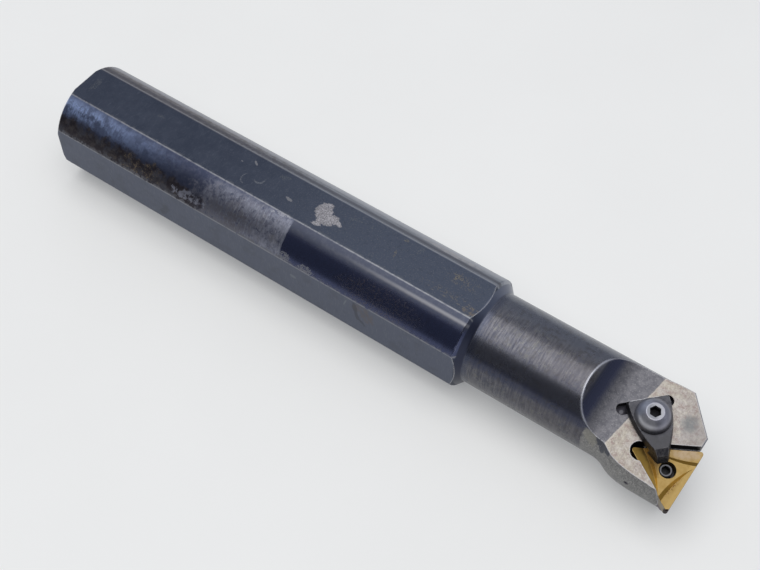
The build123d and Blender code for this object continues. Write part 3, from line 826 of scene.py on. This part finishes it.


# %% [markdown]
# The insert is pressed and sintered carbide with a thin golden coat. The coat is even on the top and the
# floors of the grooves, darker on the steep walls that a wheel ground, and gone at the chipped corner.
# Coolant has left brown stains on it, and chips a row of dark specks along the front groove. Below the
# clamp's nose a brown painted shadow darkens the top.

# %% Golden coat of the insert
def gold_coated_carbide():
    recipe = new_finish("gold_coated_carbide")
    place = place_mm(recipe)
    forward, across, above = pocket_places(place)
    upright = along(facing(recipe), pocket_up)
    mottle = grain(place, 1.5, 4.0, 0.6)
    ragged = (grain(place, 0.9, 5.0, 0.68) - 0.5) * 3.0
    fine = grain(place, 0.3, 3.0, 0.65)
    gold = blended(recipe, between(mottle, 0.3, 0.7), (0.240, 0.158, 0.050), (0.300, 0.205, 0.076))
    coat = Coat(recipe, gold, 0.42)
    topside, sides = between(upright, 0.6, 0.7), between(upright, 0.5, 0.3)
    coat.lay(between(upright, 0.955, 0.925) * topside, (0.50, 0.262, 0.038), 0.40)
    coat.lay(between(forward, -1.8, -1.2) * topside * 0.5, (0.35, 0.245, 0.092), 0.42)
    inward = tuple(0.5 * f + 0.866 * c for f, c in zip(pocket_forward, pocket_across))
    near_groove = between(along(facing(recipe), inward), 0.10, 0.16) * topside
    coat.lay(near_groove * 0.75, (0.215, 0.135, 0.026), 0.40)
    stain = spots(ragged * 0.8, oval(forward, across, (-9.9, 8.9), (2.6, 1.1), -35.0), soft=0.6)
    coat.lay(stain * topside * 0.6, (0.10, 0.050, 0.008), 0.42)
    # Painted shadow: the top is darkened below the clamp's nose.
    clamp_nose_painted_shadow = spots(ragged * 0.6, oval(forward, across, (-12.6, 12.3), (4.6, 1.9), -30.0), soft=0.7)
    clamp_nose_painted_shadow = largest(clamp_nose_painted_shadow, spots(ragged * 0.4, oval(forward, across, (-9.4, 13.2), (2.2, 1.8)), soft=0.7))
    coat.lay(clamp_nose_painted_shadow * topside * 0.8, (0.080, 0.045, 0.014), 0.42)
    coat.lay(sides, (0.25, 0.185, 0.085), 0.45)
    specks = between(grain(place, 0.4, 3.0, 0.7), 0.52, 0.60)
    specks = specks * line_at(forward - 0.171 * across, -3.8, 0.25, 0.6)
    specks = specks * between(across, 13.0, 9.0) * between(across, 3.0, 5.0)
    coat.lay(specks * 0.85, (0.10, 0.035, 0.012), 0.5)
    dull = spots(ragged * 0.6, oval(forward, across, (-3.9, 18.5), (4.4, 1.5), 30.0), soft=1.0)
    coat.lay(dull * between(mottle, 0.3, 0.6, 0.25, 0.75), (0.42, 0.33, 0.24), 0.5)
    coat.lay(edge_of(recipe, 0.18) * 0.6, (0.42, 0.32, 0.16), 0.35)
    bare_flank = sides * between(across, 4.0, 2.0) * between(forward, -1.0, -1.4)
    coat.lay(bare_flank * 0.8, (0.30, 0.27, 0.22), 0.45)
    corner = spots(ragged * 0.8, oval(forward, across, (-0.1, 0.5), (1.3, 1.2)))
    coat.lay(corner * between(above, -0.45, -0.7), (0.03, 0.018, 0.018), 0.6)
    normal = relief(recipe, fine, 0.004, rounded(recipe, 0.12))
    roughness = coat.roughness + 0.08 * mottle
    return recipe.finish(Base_Color=coat.colour, Metallic=0.9, Roughness=roughness, Normal=normal)


# %% [markdown]
# The shim is the same carbide without the coat. Only its side shows, in the gap below the insert, so two
# greys mixed by one noise are enough.

# %% Bare carbide of the shim
def bare_carbide():
    recipe = new_finish("bare_carbide")
    place = place_mm(recipe)
    mottle = grain(place, 1.0, 4.0, 0.6)
    colour = blended(recipe, mottle, (0.13, 0.11, 0.14), (0.20, 0.17, 0.20))
    normal = relief(recipe, grain(place, 0.15), 0.003, rounded(recipe, 0.15))
    return recipe.finish(Base_Color=colour, Metallic=0.7, Roughness=0.4 + 0.1 * mottle, Normal=normal)


# %% [markdown]
# The clamp, its screw and the lock pin are hardened steel with a dark finish. They share one helper: a base
# tone, a fine grain, and bright metal where their edges have rubbed. Each piece's own wear, or its painted
# light and shade, is a function that the helper calls.

# %% Dark hardened steel of the small parts
def dark_steel(name, low, high, edge_tone, roughness, edge_mm, lay_more):
    recipe = new_finish(name)
    place = place_mm(recipe)
    mottle = grain(place, 1.6, 4.0, 0.6)
    fine = grain(place, 0.15, 3.0, 0.6)
    coat = Coat(recipe, blended(recipe, between(mottle, 0.3, 0.7), low, high), roughness + 0.1 * mottle)
    worn = edge_of(recipe, edge_mm, 0.995, 0.93, 10) * between(grain(place, 0.8, 3.0, 0.6), 0.25, 0.55)
    coat.lay(worn * 0.7, edge_tone, 0.33)
    lay_more(coat, place)
    normal = relief(recipe, fine, 0.004, rounded(recipe, edge_mm))
    return recipe.finish(Base_Color=coat.colour, Metallic=0.8, Roughness=coat.roughness, Normal=normal)


# %% [markdown]
# The screw's round head carries painted light and shade: a painted highlight towards the neck and the near
# side, and painted shade towards the far side and along its foot. A pale ring surrounds the socket, with a
# painted highlight on one side of it, and the socket's inside is painted nearly black as shade.

# %% Painted light and shade of the clamp's screw
def lay_screw_ring_and_painted_light(coat, place):
    forward, across, above = pocket_places(place)
    away = distance_from(screw_axis, forward, across)
    forward, across = forward - screw_axis[0], across - screw_axis[1]
    smear = (grain(place, 1.2, 4.0, 0.65) - 0.5) * 2.0
    dome = between(above, 4.0, 5.0)
    # Painted light and shade on the dome: a painted highlight towards the neck and the near side, painted
    # shade towards the far side and along its foot.
    coat.lay(between(forward + smear, -1.2, -4.0) * dome * 0.45, (0.46, 0.51, 0.60), 0.30)
    low = between(across + smear, -1.8, -3.6) * between(forward, 3.6, 1.0) * dome
    coat.lay(low * 0.55, (0.55, 0.55, 0.56), 0.33)
    coat.lay(between(across + smear, 1.0, 3.4) * 0.5, (0.19, 0.195, 0.22), 0.36)
    shaded = between(forward - across, -3.0, 3.0, 0.3, 0.85)
    coat.lay(between(away, 4.5, 5.5) * shaded, (0.08, 0.08, 0.095))
    # The pale ring gets a painted highlight on one side, and the socket's inside is painted nearly black as
    # shade.
    ring = between(away + smear * 0.1, 2.85, 2.25) * between(above, 7.3, 7.9)
    lit = between(forward + across + smear, -1.83, 1.17)
    coat.lay(ring, blended(coat.recipe, lit, (0.17, 0.175, 0.195), (0.26, 0.265, 0.29)), 0.42)
    coat.lay(between(away, 2.0, 1.9) * between(above, 8.05, 7.7), (0.012, 0.012, 0.015), 0.5)


# %% [markdown]
# The finger of the clamp is darkened by oily hands, and the slopes of its nose are rubbed to grey by chips.
# Of the pin only the top shows: a grey ring round a socket that is painted nearly black as shade.

# %% Wear of the clamp, and the pin's ring and painted shade
def lay_clamp_wear(coat, place):
    forward, across, _ = pocket_places(place)
    away = distance_from(screw_axis, forward, across)
    upright = along(facing(coat.recipe), pocket_up)
    finger = between(upright, 0.9, 0.97) * between(away, 5.2, 7.5)
    finger = finger * between(across - screw_axis[1], 1.0, -3.0)
    coat.lay(finger * 0.75, (0.042, 0.042, 0.045), 0.38)
    coat.lay(finger * between(grain(place, 0.8, 4.0, 0.65), 0.5, 0.62) * 0.5, (0.05, 0.05, 0.06), 0.4)
    nose = between(upright, 0.9, 0.8) * between(away, 8.0, 10.0)
    coat.lay(nose * between(grain(place, 1.0, 4.0, 0.65), 0.4, 0.6) * 0.5, (0.20, 0.19, 0.19), 0.36)


def lay_pin_ring_and_painted_shade(coat, place):
    forward, across, _ = pocket_places(place)
    away = distance_from(pin_axis, forward, across)
    coat.lay(between(away, 1.95, 1.75) * between(away, 1.35, 1.45), (0.085, 0.085, 0.092), 0.4)
    # Painted shade: the socket is laid nearly black.
    coat.lay(between(away, 1.45, 1.35), (0.02, 0.02, 0.022), 0.5)


# %% [markdown]
# Every solid keeps its shape and only changes its material, so nothing has to be fitted or moved. The
# three dark steels differ in tone, in roughness and in how widely their edges have worn.

# %% Give each part its finish
dark_steels = {
    "lock_pin": dict(
        name="dark_pin_steel",
        low=(0.05, 0.05, 0.06),
        high=(0.08, 0.08, 0.09),
        edge_tone=(0.2, 0.2, 0.21),
        roughness=0.36,
        edge_mm=0.12,
        lay_more=lay_pin_ring_and_painted_shade,
    ),
    "clamp": dict(
        name="dark_clamp_steel",
        low=(0.042, 0.042, 0.050),
        high=(0.068, 0.068, 0.077),
        edge_tone=(0.26, 0.26, 0.28),
        roughness=0.36,
        edge_mm=0.5,
        lay_more=lay_clamp_wear,
    ),
    "clamp_screw": dict(
        name="dark_screw_steel",
        low=(0.23, 0.23, 0.27),
        high=(0.30, 0.30, 0.35),
        edge_tone=(0.4, 0.4, 0.43),
        roughness=0.31,
        edge_mm=0.2,
        lay_more=lay_screw_ring_and_painted_light,
    ),
}
finishes = {"bar_body": blackened_steel(), "insert": gold_coated_carbide(), "shim": bare_carbide()}
for part, choices in dark_steels.items():
    finishes[part] = dark_steel(**choices)
for part, material in finishes.items():
    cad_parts[part].material_slots[0].material = material
    print(part, "wears", material.name, "of", len(material.node_tree.nodes), "nodes")

# %% [markdown]
# The floor is a plain pale sheet, one wide square. It touches the bar's lowest flat, so the bar rests
# on it. It glows a little, so that it stays pale beside the bar's soft shadow.

# %% Lay the floor
floor_height = solid_box[0].z
floor_half_width = 3.0
bar_middle = 0.12

floor_mesh = bpy.data.meshes.new("floor")
floor_shape = bmesh.new()
bmesh.ops.create_grid(floor_shape, x_segments=1, y_segments=1, size=floor_half_width)
bmesh.ops.translate(floor_shape, verts=floor_shape.verts, vec=(bar_middle, 0.0, floor_height))
floor_shape.to_mesh(floor_mesh)
floor_shape.free()
floor = bpy.data.objects.new("floor", floor_mesh)
scene.collection.objects.link(floor)

paper = new_finish("pale_floor")
paper_place = place_mm(paper)
paper_tone = blended(paper, grain(paper_place, 60.0, 4.0, 0.5), (0.57, 0.57, 0.555), (0.61, 0.61, 0.595))
paper_normal = relief(paper, grain(paper_place, 30.0, 3.0, 0.5), 0.3)
floor_mesh.materials.append(
    paper.finish(
        Base_Color=paper_tone,
        Roughness=0.85,
        Emission_Color=(0.97, 0.985, 1.0),
        Emission_Strength=0.265,
        Normal=paper_normal,
    )
)
print("floor at mm:", round(1000 * floor_height, 2))

# %% [markdown]
# Steel shows what it reflects, so the light is set up for its reflections. The sky is bright overhead,
# darker near the ground and nearly black on the near side, where the bar's shadow falls. One wide soft
# lamp hangs above, a little nearer to the camera than the bar is.

# %% Light the scene
room = Recipe(bpy.data.worlds.new("soft_room"), "ShaderNodeBackground", "ShaderNodeOutputWorld")
room_place = room.node("ShaderNodeTexCoord", output="Generated")
room_height = room.node(
    "ShaderNodeMapRange", values={"Value": axis_of(room_place, "Z"), "From Min": 0.3, "From Max": 0.9}
)
sky = blended(room, room_height, (0.38, 0.40, 0.46), (0.66, 0.68, 0.73))
beyond = between(axis_of(room_place, "Y"), -0.65, 0.15)
scene.world = room.finish(Color=blended(room, beyond, (0.035, 0.04, 0.06), sky), Strength=1.0)

lamp_data = bpy.data.lights.new("overhead_lamp", "AREA")
lamp_data.shape = "DISK"
lamp_data.size = 1.95
lamp_data.energy = 18.3
lamp_data.color = (1.0, 0.99, 0.97)
lamp = bpy.data.objects.new("overhead_lamp", lamp_data)
scene.collection.objects.link(lamp)
lamp_place = Vector((bar_middle, -0.26, 1.5))
lamp_aim = Vector((bar_middle, -0.05, 0.0))
lamp_turn = (lamp_aim - lamp_place).to_track_quat("-Z", "Y").to_matrix().to_4x4()
lamp.matrix_world = Matrix.Translation(lamp_place) @ lamp_turn
scene.view_settings.view_transform = "Standard"
scene.view_settings.look = "None"
